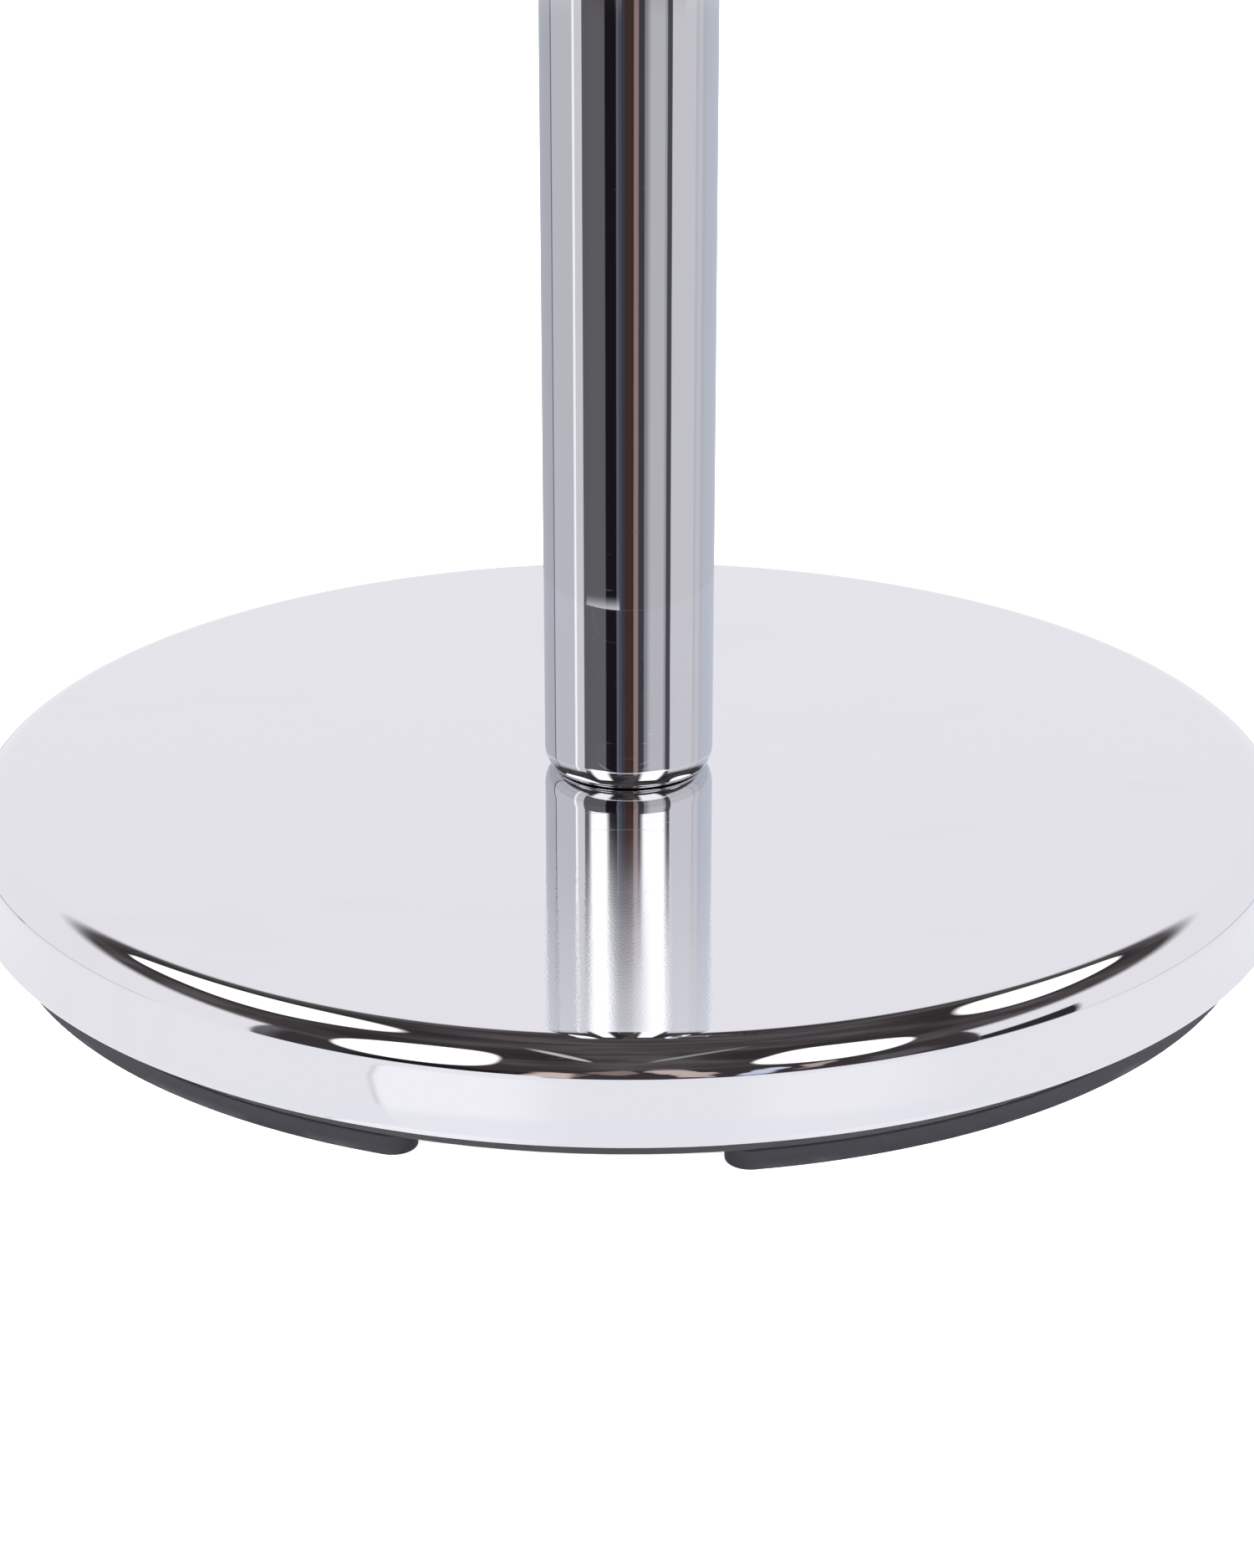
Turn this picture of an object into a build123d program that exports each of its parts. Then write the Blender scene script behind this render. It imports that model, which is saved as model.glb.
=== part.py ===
from build123d import *
import os

# Flag pole stand: a round weighted base in a chromed cover, on four floor pads,
# with a socket column whose side screw clamps the foot of a flag pole.
# Millimetres, +Z up. The floor is z = 0, the column's axis is the Z axis,
# the front faces -Y and the clamp screw points along +X.

# Base: chromed cover
cover_radius = 148.0  # outside of the side wall
cover_height = 21.0  # lower lip to flat top
cover_sheet = 1.0
shoulder_radius = 7.5  # outside of the rolled shoulder
lip_bead_radius = 1.3
lip_proud = 1.0  # bead beyond the side wall

# Base: tray, pads and iron weight
foot_height = 4.5
rim_drop = 5.0  # tray showing below the cover's lip
tray_inset = 6.4  # tray wall behind the cover's side wall
tray_floor = 2.5
tray_wall = 2.3
tray_wall_height = 15.5
flange_rise = 8.5  # centring flange above the tray's underside
flange_thickness = 2.0
tray_slack = 0.8  # centring flange to cover, all round
tray_edge_round = 0.5
rib_count = 12
rib_width = 1.8
rib_drop = 1.5
foot_count = 4
foot_arc = 60.0  # degrees between the centres of a pad's round ends
foot_turn = -5.0  # degrees from the front to the middle of the front gap
foot_width = 10.0
foot_edge_round = 0.6
peg_radius = 2.5
peg_length = 2.2
peg_spread = 22.0  # degrees from the middle peg to the outer ones
weight_edge = 1.5

# Fixings of the base
recess_depth = 13.0  # spanner recess in the weight's underside
recess_margin = 5.0  # recess beyond the washer
bolt_radius = 6.0  # M12
bolt_length = 40.0
bolt_point = 1.0
bolt_head_flats = 18.0
bolt_head_height = 7.5
washer_radius = 25.0
washer_thickness = 3.0
washer_edge = 0.4
spring_washer_radius = 10.5
spring_washer_thickness = 2.5
spring_washer_gap = 3.0
tray_screw_count = 4
tray_screw_circle = 82.0
tray_screw_radius = 2.0
tray_screw_head = 4.0
tray_screw_length = 12.0
tray_screw_blind = 1.0  # hole below the screw's point
tray_screw_turn = 40.0

# Column
tube_radius = 19.05  # 1 1/2 inch tube
tube_wall = 1.5
column_length = 225.0
nose_height = 5.0
nose_inset = 3.0
nose_hole = 9.0
plug_height = 24.0
plug_spigot = 14.0
plug_edge = 1.0

# Pole socket, for a 1 1/4 inch pole
pole_radius = 15.875
pole_slack = 0.225
seat_floor = 4.0
seat_height = 34.0
bush_depth = 20.0
bush_lip = 2.0
ferrule_wall = 1.5
ferrule_depth = 12.0
ferrule_cap = 1.5
ferrule_round = 0.6
ferrule_mouth = 1.2  # mouth beyond the socket's bore
lead_in = 0.8

# Clamp screw, M8 x 1.25
clamp_below_top = 29.0
boss_radius = 11.0
boss_length = 10.0
boss_spigot = 7.0
boss_edge = 1.2
boss_root = 1.5  # spigot's start inside the boss's saddle
screw_radius = 4.0
screw_point = 0.5
pin_radius = 2.5
pin_length = 2.5
pad_radius = 3.8
pad_length = 4.0
pad_round = 0.6
pad_retract = 0.9  # pad's face clear of the socket's bore
clamp_travel = 8.0
knob_radius = 12.5
knob_length = 15.0
knob_round = 2.5
knob_clear = 1.0  # knob to boss with the screw fully in
knob_flutes = 8
flute_radius = 3.0
flute_depth = 1.4
knob_hub_radius = 8.5
knob_hub_length = 3.0
knob_grip_depth = 11.0  # screw moulded into the knob

# Clearances
fit_gap = 0.05  # turned and pressed fits
mould_gap = 0.02  # plastic moulded on steel
drop_in_gap = 0.3  # parts laid in place
screw_way = 0.5  # bolt through a plain hole
past = 1.0  # how far a cutting shape runs beyond the face it opens

# Levels and radii worked out from the sizes above
tray_z = foot_height
weight_z = tray_z + tray_floor
lip_z = tray_z + rim_drop
plate_z = lip_z + cover_height
plate_under_z = plate_z - cover_sheet
recess_top_z = weight_z + recess_depth
nose_top_z = plate_z + nose_height
plug_z = plate_z + tube_wall
plug_top_z = plug_z + plug_height
column_top_z = plate_z + column_length
bush_top_z = column_top_z + bush_lip
clamp_z = column_top_z - clamp_below_top

cover_inner = cover_radius - cover_sheet
tray_radius = cover_radius - tray_inset
flange_radius = cover_inner - tray_slack
weight_radius = tray_radius - tray_wall - drop_in_gap
recess_radius = washer_radius + recess_margin
tube_inner = tube_radius - tube_wall
bore_radius = pole_radius + pole_slack
foot_centre_radius = tray_radius - foot_width / 2
foot_pitch = 360 / foot_count

boss_end = tube_radius + boss_length
pad_tip = bore_radius + pad_retract
pad_back = pad_tip + pad_length
screw_shoulder = pad_back + 2 * fit_gap
knob_start = boss_end + clamp_travel + knob_clear


def rod(radius, low, high):
    """Round bar on the Z axis between two levels."""
    bar = Cylinder(radius, high - low, align=(Align.CENTER, Align.CENTER, Align.MIN))
    return Pos(0, 0, low) * bar


def ring(inner, outer, low, high):
    """Round bar with a hole through it."""
    return rod(outer, low, high) - rod(inner, low - past, high + past)


def turned(section):
    """Solid of revolution of a section drawn as (radius, height)."""
    return revolve(Plane.XZ * section, Axis.Z)


def box_section(inner, outer, low, high):
    """Rectangle of a turned section between two radii and two levels."""
    middle = ((inner + outer) / 2, (low + high) / 2)
    return Pos(*middle) * Rectangle(outer - inner, high - low)


def around(count, radius, turn, piece):
    """Copies of a piece spaced round the Z axis, the first at turn degrees."""
    step = 360 / count
    return [Rot(0, 0, turn + step * k) * Pos(radius, 0, 0) * piece for k in range(count)]


def crosswise(piece):
    """Lay a piece made on the Z axis along +X at the clamp screw's height."""
    return Pos(0, 0, clamp_z) * Rot(0, 90, 0) * piece


def base_cover():
    """Spun dish: flat top, rolled shoulder, plain side wall and a beaded lip."""
    wall_z = lip_z + lip_bead_radius
    section = box_section(0, cover_radius, wall_z, plate_z)
    outer_corner = section.vertices().sort_by(Axis.X)[-2:].sort_by(Axis.Y)[-1]
    section = fillet(outer_corner, shoulder_radius)
    hollow = box_section(0, cover_inner, wall_z, plate_under_z)
    inner_corner = hollow.vertices().sort_by(Axis.X)[-2:].sort_by(Axis.Y)[-1]
    hollow = fillet(inner_corner, shoulder_radius - cover_sheet)
    bead_centre = cover_radius + lip_proud - lip_bead_radius
    bead = Pos(bead_centre, wall_z) * Circle(lip_bead_radius)
    shell = turned(section - hollow + bead)
    return shell - rod(bolt_radius + screw_way, plate_under_z - past, plate_z + past)


def base_tray():
    """Moulded pan under the weight, with a flange that centres it in the cover."""
    hole = recess_radius + screw_way
    section = box_section(hole, tray_radius, tray_z, weight_z)
    section += box_section(tray_radius - tray_wall, tray_radius, tray_z, tray_z + tray_wall_height)
    flange_z = tray_z + flange_rise
    section += box_section(tray_radius - tray_wall / 2, flange_radius, flange_z, flange_z + flange_thickness)
    section += box_section(hole, hole + tray_floor, tray_z - rib_drop, tray_z)
    lower_corner = section.vertices().group_by(Axis.Y)[1].sort_by(Axis.X)[-1]
    tray = turned(fillet(lower_corner, tray_edge_round))
    rib_start = hole + tray_floor / 2
    rib_end = tray_radius - foot_width - tray_floor
    rib = Pos(0, 0, tray_z - rib_drop / 2) * Box(rib_end - rib_start, rib_width, rib_drop)
    tray += around(rib_count, (rib_start + rib_end) / 2, 0, rib)
    tray -= peg_set(peg_radius + fit_gap, weight_z - tray_z)
    return tray - around(tray_screw_count, tray_screw_circle, tray_screw_turn, screw_head(fit_gap))


def screw_head(gap):
    """Countersunk head of a tray screw in the tray's floor, larger all round by a gap."""
    wide = tray_screw_head + gap
    narrow = tray_screw_radius + gap
    on_base = (Align.CENTER, Align.CENTER, Align.MIN)
    return Pos(0, 0, tray_z) * Cone(wide, narrow, tray_floor, align=on_base)


def foot_angle(index):
    """Direction of a pad's middle, in degrees from +X."""
    return -90 + foot_turn + foot_pitch * (index + 0.5)


def peg_set(radius, length):
    """Pegs of every pad, standing up from the tray's underside."""
    pegs = []
    for index in range(foot_count):
        pegs += foot_pegs(index, radius, length)
    return pegs


def foot_pegs(index, radius, length):
    """Three pegs of one pad."""
    turns = [foot_angle(index) + offset for offset in (-peg_spread, 0, peg_spread)]
    peg = rod(radius, tray_z, tray_z + length)
    return [Rot(0, 0, turn) * Pos(foot_centre_radius, 0, 0) * peg for turn in turns]


def foot_pad(index):
    """Curved rubber pad with round ends, pegged up into the tray."""
    start = foot_angle(index) - foot_arc / 2
    path = CenterArc((0, 0), foot_centre_radius, start, foot_arc)
    pad = extrude(SlotArc(path, foot_width), foot_height)
    lower_edges = pad.faces().sort_by(Axis.Z)[0].edges()
    pad = fillet(lower_edges, foot_edge_round)
    for peg in foot_pegs(index, peg_radius, peg_length):
        pad += peg
    return pad


def tray_screws():
    """Countersunk screws that hold the tray up to the weight."""
    shank = rod(tray_screw_radius, weight_z, tray_z + tray_screw_length)
    screw = screw_head(0) + shank
    return Compound(children=around(tray_screw_count, tray_screw_circle, tray_screw_turn, screw))


def weight_block():
    """Cast iron disc that fills the cover, with the spanner recess below."""
    block = rod(weight_radius, weight_z, plate_under_z)
    block = chamfer(block.edges().filter_by(GeomType.CIRCLE), weight_edge)
    block -= rod(recess_radius, weight_z - past, recess_top_z)
    block -= rod(bolt_radius + screw_way, recess_top_z - past, plate_under_z + past)
    blind_z = tray_z + tray_screw_length + tray_screw_blind
    blind = rod(tray_screw_radius + fit_gap, weight_z - past, blind_z)
    return block - around(tray_screw_count, tray_screw_circle, tray_screw_turn, blind)


def centre_bolt():
    """Hexagon bolt that draws the column, cover and weight together."""
    seat_z = recess_top_z - washer_thickness - spring_washer_thickness
    flats = RegularPolygon(bolt_head_flats / 2, 6, major_radius=False)
    head = Pos(0, 0, seat_z - bolt_head_height) * extrude(flats, bolt_head_height)
    rounded = Cone(bolt_head_flats / 2, bolt_head_flats, bolt_head_flats / 2)
    head &= Pos(0, 0, seat_z - bolt_head_height + bolt_head_flats / 4) * rounded
    shank = rod(bolt_radius, seat_z, seat_z + bolt_length)
    shank = chamfer(shank.edges().sort_by(Axis.Z)[-1], bolt_point)
    return head + shank


def spring_washer():
    """Split washer under the bolt's head."""
    top_z = recess_top_z - washer_thickness
    washer = ring(bolt_radius + fit_gap, spring_washer_radius, top_z - spring_washer_thickness, top_z)
    return washer - Pos(spring_washer_radius, 0, top_z) * Box(
        spring_washer_radius * 2, spring_washer_gap, spring_washer_thickness * 4
    )


def bolt_washer():
    """Wide plain washer in the recess."""
    low_z = recess_top_z - washer_thickness
    washer = ring(bolt_radius + screw_way, washer_radius, low_z, recess_top_z)
    rims = washer.edges().filter_by(GeomType.CIRCLE).sort_by(SortBy.RADIUS)[-2:]
    return chamfer(rims, washer_edge)


def nose_arc(centre, inwards):
    """Quarter ellipse of the rounded nose, from its foot up to the straight tube."""
    across = nose_inset - inwards
    up = nose_height - inwards
    return EllipticalCenterArc(centre, across, up, start_angle=270, arc_size=90)


def column_tube():
    """Chromed tube whose foot is spun inwards to a rounded nose."""
    nose_centre = (tube_radius - nose_inset, nose_top_z)
    outer_nose = nose_arc(nose_centre, 0)
    inner_nose = nose_arc(nose_centre, tube_wall)
    top_outside = (tube_radius, column_top_z)
    top_inside = (tube_inner, column_top_z)
    outside = Polyline(outer_nose @ 1, top_outside, top_inside, inner_nose @ 1)
    inside = Polyline(inner_nose @ 0, (nose_hole, plug_z), (nose_hole, plate_z), outer_nose @ 0)
    tube = turned(make_face([outer_nose, outside, inner_nose, inside]))
    return tube - crosswise(rod(boss_spigot + fit_gap, 0, tube_radius * 2))


def column_plug():
    """Threaded plug welded inside the column's foot."""
    plug = rod(tube_inner - fit_gap, nose_top_z, plug_top_z)
    plug = chamfer(plug.edges().sort_by(Axis.Z)[-1], plug_edge)
    plug += rod(plug_spigot, plug_z, nose_top_z)
    return plug - rod(bolt_radius + fit_gap, plug_z - past, plug_top_z + past)


def pole_seat():
    """Cup that holds the pole's butt just above the plug."""
    cup = rod(tube_inner - fit_gap, plug_top_z, plug_top_z + seat_height)
    cup -= rod(bore_radius, plug_top_z + seat_floor, plug_top_z + seat_height + past)
    mouth = cup.edges().filter_by(GeomType.CIRCLE).group_by(Axis.Z)[-1].sort_by(SortBy.RADIUS)[0]
    return chamfer(mouth, lead_in)


def socket_bush():
    """Guide bush in the column's mouth, with a lip over the tube's end."""
    bush = ring(bore_radius, tube_inner - fit_gap, column_top_z - bush_depth, column_top_z)
    bush += ring(bore_radius, tube_radius, column_top_z, bush_top_z)
    mouth = bush.edges().filter_by(GeomType.CIRCLE).group_by(Axis.Z)[-1].sort_by(SortBy.RADIUS)[0]
    return chamfer(mouth, lead_in)


def top_ferrule():
    """Chromed trim ring over the column's mouth and the bush's lip."""
    outer = tube_radius + fit_gap + ferrule_wall
    top_z = bush_top_z + ferrule_cap
    cap = rod(outer, bush_top_z - ferrule_depth, top_z)
    cap -= rod(tube_radius + fit_gap, bush_top_z - ferrule_depth - past, bush_top_z)
    cap -= rod(bore_radius + ferrule_mouth, bush_top_z - past, top_z + past)
    top_rims = cap.edges().filter_by(GeomType.CIRCLE).group_by(Axis.Z)[-1]
    return fillet(top_rims, ferrule_round)


def clamp_boss():
    """Threaded boss welded to the column, its spigot through the tube's wall."""
    body = rod(boss_radius, 0, boss_end)
    body = chamfer(body.edges().sort_by(Axis.Z)[-1], boss_edge)
    body = crosswise(body) - rod(tube_radius + fit_gap, clamp_z - boss_radius * 2, column_top_z)
    spigot = crosswise(rod(boss_spigot, tube_inner, tube_radius + boss_root))
    way = crosswise(rod(screw_radius + fit_gap, 0, boss_end + past))
    return body + spigot - way


def clamp_pad():
    """Nylon tip on the screw's end, which presses on the pole and doesn't turn."""
    pad = rod(pad_radius, pad_tip, pad_back)
    pad = fillet(pad.edges().sort_by(Axis.Z)[0], pad_round)
    return crosswise(pad - rod(pin_radius + fit_gap, pad_back - pin_length, pad_back + past))


def clamp_screw():
    """Steel screw with a pin at its tip for the pad."""
    shank = rod(screw_radius, screw_shoulder, knob_start + knob_grip_depth)
    shank = chamfer(shank.edges().sort_by(Axis.Z)[0], screw_point)
    return crosswise(shank + rod(pin_radius, screw_shoulder - pin_length, screw_shoulder))


def clamp_knob():
    """Moulded knob with shallow flutes, fixed on the screw's outer end."""
    knob = rod(knob_radius, knob_start + knob_hub_length, knob_start + knob_length)
    knob = fillet(knob.edges().filter_by(GeomType.CIRCLE), knob_round)
    flute = rod(flute_radius, knob_start, knob_start + knob_length + past)
    flute_circle = knob_radius + flute_radius - flute_depth
    knob -= around(knob_flutes, flute_circle, 0, flute)
    knob += rod(knob_hub_radius, knob_start, knob_start + knob_hub_length + knob_round)
    return crosswise(knob - rod(screw_radius + mould_gap, knob_start - past, knob_start + knob_grip_depth))


parts = {
    "base_cover": base_cover(),
    "base_tray": base_tray(),
    "tray_screws": tray_screws(),
    "weight_block": weight_block(),
    "centre_bolt": centre_bolt(),
    "spring_washer": spring_washer(),
    "bolt_washer": bolt_washer(),
    "column_tube": column_tube(),
    "column_plug": column_plug(),
    "pole_seat": pole_seat(),
    "socket_bush": socket_bush(),
    "top_ferrule": top_ferrule(),
    "clamp_boss": clamp_boss(),
    "clamp_pad": clamp_pad(),
    "clamp_screw": clamp_screw(),
    "clamp_knob": clamp_knob(),
}
for index in range(foot_count):
    parts[f"foot_pad_{index + 1}"] = foot_pad(index)

os.makedirs("parts", exist_ok=True)
for name, solid in parts.items():
    export_step(solid, f"parts/{name}.step")
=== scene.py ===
# %% [markdown]
# # A chromed flag pole stand
#
# The object is a heavy round base in a chromed cover, on four rubber floor pads, with a
# socket column whose side screw clamps the foot of a flag pole. A measured model of every
# piece arrives as the frame. This lesson dresses that frame: it makes finer surfaces for
# the pieces that show, writes a finish for each material, and sets up a small studio.
#
# Chrome has hardly any colour of its own. It shows the room, so half of the work is
# in the shapes being perfectly smooth, and the other half is in the room they reflect.

# %% Load the frame
import math
import bpy
import numpy as np
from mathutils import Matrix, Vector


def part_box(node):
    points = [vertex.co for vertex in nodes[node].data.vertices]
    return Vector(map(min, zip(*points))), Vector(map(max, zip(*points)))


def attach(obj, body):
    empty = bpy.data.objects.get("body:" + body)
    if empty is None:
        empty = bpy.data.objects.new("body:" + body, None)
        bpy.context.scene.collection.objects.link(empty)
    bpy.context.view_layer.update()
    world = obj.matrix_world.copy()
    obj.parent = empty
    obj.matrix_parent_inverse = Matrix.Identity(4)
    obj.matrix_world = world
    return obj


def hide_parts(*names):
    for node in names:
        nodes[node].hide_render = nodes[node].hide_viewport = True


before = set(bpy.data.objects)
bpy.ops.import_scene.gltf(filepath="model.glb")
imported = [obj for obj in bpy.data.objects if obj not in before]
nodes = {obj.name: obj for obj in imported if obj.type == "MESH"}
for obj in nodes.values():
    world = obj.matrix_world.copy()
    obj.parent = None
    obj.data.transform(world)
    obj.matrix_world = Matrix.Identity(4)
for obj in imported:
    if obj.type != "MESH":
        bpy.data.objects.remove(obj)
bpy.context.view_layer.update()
scene = bpy.context.scene

# %% [markdown]
# Lengths are easier to read in millimetres, and Blender works in metres, so shapes are
# worked out in millimetres and scaled once, as they become a mesh. Each measure comes from
# the box of the piece it belongs to, so that the new surfaces keep to the measured model.

# %% Measures taken from the frame
MM = 0.001


def low(node):
    """Lowest corner of a node's box in millimetres."""
    return np.array(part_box(node)[0]) / MM


def high(node):
    """Highest corner of a node's box in millimetres."""
    return np.array(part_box(node)[1]) / MM


lip_radius = high("base_cover")[0]
lip_z = low("base_cover")[2]
plate_z = high("base_cover")[2]
tube_radius = high("column_tube")[0]
tube_top_z = high("column_tube")[2]
clamp_z = (low("clamp_boss")[2] + high("clamp_boss")[2]) / 2
print("lip radius", round(lip_radius, 2), "plate level", round(plate_z, 2), "tube", round(tube_radius, 2))
print("clamp screw level", round(clamp_z, 2), "top of the tube", round(tube_top_z, 2))

# %% [markdown]
# Every new surface is a grid of points: a shape is a function of two parameters, one that
# runs round it and one that runs along it. The faces are the squares between neighbours.
# Where a ring of the grid shrinks to a point, the points share one place, so they are
# joined and the squares there become triangles. That closes the pole without a hole.

# %% Grids of points become closed meshes
def grid_faces(rows, columns, close_rows, close_columns):
    """Squares between neighbouring points of a grid, as four point numbers each."""
    row = np.arange(rows if close_rows else rows - 1)
    column = np.arange(columns if close_columns else columns - 1)
    r, c = (a.ravel() for a in np.meshgrid(row, column, indexing="ij"))
    r2, c2 = (r + 1) % rows, (c + 1) % columns
    return np.stack([r * columns + c, r * columns + c2, r2 * columns + c2, r2 * columns + c], 1)


def shell(points, close_rows=True, close_columns=True):
    """A surface from a grid of points (rows, columns, 3): its points and its squares."""
    rows, columns = points.shape[:2]
    return points.reshape(-1, 3), grid_faces(rows, columns, close_rows, close_columns)


def enclosed(points, faces):
    """Signed volume: the sum over the faces of a box product, positive if they point outwards."""
    a, b, c, d = (points[faces[:, k]] for k in range(4))
    return float((np.cross(a, b) * c).sum() + (np.cross(a, c) * d).sum()) / 6


def outwards(surface):
    """The same surface with its faces turned over if they point inwards."""
    points, faces = surface
    return (points, faces[:, ::-1]) if enclosed(points, faces) < 0 else (points, faces)


def joined(*surfaces):
    """Several surfaces as one."""
    starts = np.cumsum([0] + [len(points) for points, _ in surfaces[:-1]])
    faces = [faces + start for (_, faces), start in zip(surfaces, starts)]
    return np.concatenate([points for points, _ in surfaces]), np.concatenate(faces)


def pole_closed(points, faces):
    """Join points that share a place: squares that lose a side there become triangles."""
    keys = np.round(points * 1e5).astype(np.int64)
    _, first, number = np.unique(keys, axis=0, return_index=True, return_inverse=True)
    faces = number.reshape(-1)[faces]
    kept = faces != np.roll(faces, -1, axis=1)
    sides = kept.sum(1)
    squares = faces[sides == 4]
    triangles = faces[sides == 3][kept[sides == 3]].reshape(-1, 3)
    return points[first], squares.tolist() + triangles.tolist()


def make_piece(name, surface, body, replaced=(), crease=32.0):
    """A mesh object from a surface in millimetres, riding on a body. Edges that bend by more
    than crease, in degrees, stay sharp."""
    points, faces = pole_closed(*surface)
    mesh = bpy.data.meshes.new(name)
    mesh.from_pydata(points * MM, [], faces)
    mesh.shade_smooth()
    mesh.set_sharp_from_angle(angle=math.radians(crease))
    piece = bpy.data.objects.new(name, mesh)
    scene.collection.objects.link(piece)
    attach(piece, body)
    if replaced:
        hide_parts(*replaced)
    print(name, "points", len(points), "faces", len(faces))
    return piece


# %% [markdown]
# Most pieces of this object are turned, on a lathe or by spinning sheet metal. They are
# drawn as half a section, a line in radius and height, and carried once round the axis.
# A section is given by its corners, and each corner may be rounded with a small arc.

# %% Sections and turned surfaces
def arc(centre, radius, start, end, steps):
    """Points on an arc: centre plus radius times cosine and sine of the angle, in degrees."""
    angle = np.radians(np.linspace(start, end, steps))
    radii = np.broadcast_to(radius, 2)
    return np.stack([centre[0] + radii[0] * np.cos(angle), centre[1] + radii[1] * np.sin(angle)], 1)


def rounded(corners, radii, steps=6):
    """A closed section from corners. Each corner is cut back by radius over the tangent of half
    its angle, and an arc joins the two cuts."""
    corners = np.array(corners, float)
    pieces = []
    for k, radius in enumerate(np.broadcast_to(radii, len(corners))):
        here, before, after = corners[k], corners[k - 1], corners[(k + 1) % len(corners)]
        to_before = (before - here) / np.linalg.norm(before - here)
        to_after = (after - here) / np.linalg.norm(after - here)
        half = math.acos(float(np.clip(to_before @ to_after, -1, 1))) / 2
        if radius <= 0 or abs(half - math.pi / 2) < 1e-6:
            pieces.append(here[None])
            continue
        middle = (to_before + to_after) / np.linalg.norm(to_before + to_after)
        centre = here + middle * radius / math.sin(half)
        first = here + to_before * radius / math.tan(half) - centre
        last = here + to_after * radius / math.tan(half) - centre
        share = np.linspace(0, 1, steps)[:, None]
        turn = math.pi - 2 * half
        swing = (np.sin((1 - share) * turn) * first + np.sin(share * turn) * last) / math.sin(turn)
        pieces.append(centre + swing)
    return np.concatenate(pieces)


def turned(section, count=192, closed=True):
    """Surface of revolution: each point (radius, height) goes to radius times cosine and sine
    of the turn, at its height."""
    turn = np.linspace(0, 2 * math.pi, count, endpoint=False)[None, :]
    radius, height = section[:, 0:1], section[:, 1:2]
    points = np.stack([radius * np.cos(turn), radius * np.sin(turn), height + 0 * turn], 2)
    return outwards(shell(points, close_rows=closed))


def crosswise(surface):
    """Lay a surface made on the Z axis along +X, at the clamp screw's level: the height
    becomes the distance outwards."""
    points, faces = surface
    return np.stack([points[:, 2], points[:, 1], clamp_z - points[:, 0]], 1), faces


box_section = rounded([(0, 0), (2, 0), (2, 1), (0, 1)], 0.2)
print("a box section with four rounded corners has", len(box_section), "points")

# %% [markdown]
# ## The chromed cover
#
# The real cover is a sheet steel disc spun over a former: a flat top, a rolled shoulder, a
# side wall that flares a little at its foot, and a lip curled into a bead. It could be a
# cylinder with a bevel, but the shoulder is the part that catches every light of the room,
# and a mirror shows each flat facet. A turned section with many points round the shoulder
# and the bead stays smooth.

# %% Cover
def cover_section():
    """Down the outside from the bolt hole, round the bead, and back up the inside. The side
    wall flares towards the bead: its radius grows with the square of the way down."""
    wall, sheet, shoulder, bead = lip_radius - 1.0, 1.0, 7.5, 1.3
    bead_centre = (lip_radius - bead, lip_z + bead)
    hole, out_turn = 6.5, 11.3
    share = np.linspace(0, 1, 24)
    skirt = np.column_stack([wall + 0.975 * share ** 2, lip_z + 11.35 - 9.8 * share])
    in_turn = -math.degrees(math.acos((wall - sheet - bead_centre[0]) / bead))
    corner = (wall - shoulder, plate_z - shoulder)
    return np.concatenate([
        [(hole, plate_z - sheet), (hole, plate_z), (19.0, plate_z), (60.0, plate_z), (100.0, plate_z)],
        [(wall - shoulder - 1.0, plate_z)],
        arc(corner, shoulder, 90, 0, 48),
        skirt[:-1],
        arc(bead_centre, bead, out_turn, in_turn, 30),
        [(wall - sheet, lip_z + 6.0)],
        arc(corner, shoulder - sheet, 0, 90, 16),
        [(60.0, plate_z - sheet)],
    ])


cover = make_piece(
    "chrome_cover", turned(cover_section(), 480), "stand", ["base_cover"])

# %% [markdown]
# ## The column
#
# The column is a drawn tube whose foot is spun inwards to a rounded nose, so that it seems to
# stand on a fine dark line. The nose is a quarter of an ellipse. The clamp screw passes
# through a round hole in the tube's wall, which is cut with a Boolean; two rings of points
# just above and below keep the squares short there, so the cut disturbs no long face.

# %% Column tube
def column_section():
    """Up the outside of the nose and the tube, over the end, and back down the inside."""
    wall, rise, inset, hole = 1.5, 5.0, 3.0, 9.0
    nose = (tube_radius - inset, plate_z + rise)
    ring = [clamp_z - 10.5, clamp_z - 8.5, clamp_z + 8.5, clamp_z + 10.5]
    support = 0.12  # a ring just above the nose keeps the shading of the tube straight
    rings_up = [plate_z + up for up in (rise + support, 12.0, 40.0, 90.0, 140.0)]
    levels = [*rings_up, *ring, tube_top_z]
    outside = [(tube_radius, z) for z in levels]
    inside = [(tube_radius - wall, z) for z in reversed(levels)]
    return np.concatenate([
        [(hole, plate_z + wall), (hole, plate_z)],
        arc(nose, (inset, rise), -90, 0, 32),
        outside,
        inside,
        arc(nose, (inset - wall, rise - wall), 0, -90, 12),
    ])


column = make_piece(
    "chrome_column", turned(column_section(), 256), "stand", ["column_tube"])


def drill(piece, cutter_surface):
    """Cut a shape out of a piece with a Boolean and keep the result as its mesh."""
    points, faces = pole_closed(*cutter_surface)
    tool_mesh = bpy.data.meshes.new("tool")
    tool_mesh.from_pydata(points * MM, [], faces)
    tool = bpy.data.objects.new("tool", tool_mesh)
    scene.collection.objects.link(tool)
    cut = piece.modifiers.new("cut", "BOOLEAN")
    cut.operation, cut.solver, cut.object = "DIFFERENCE", "EXACT", tool
    shape = bpy.data.meshes.new_from_object(
        piece.evaluated_get(bpy.context.evaluated_depsgraph_get()))
    piece.modifiers.clear()
    piece.data = shape
    bpy.data.objects.remove(tool)
    print(piece.name, "drilled, faces", len(shape.polygons))


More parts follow.
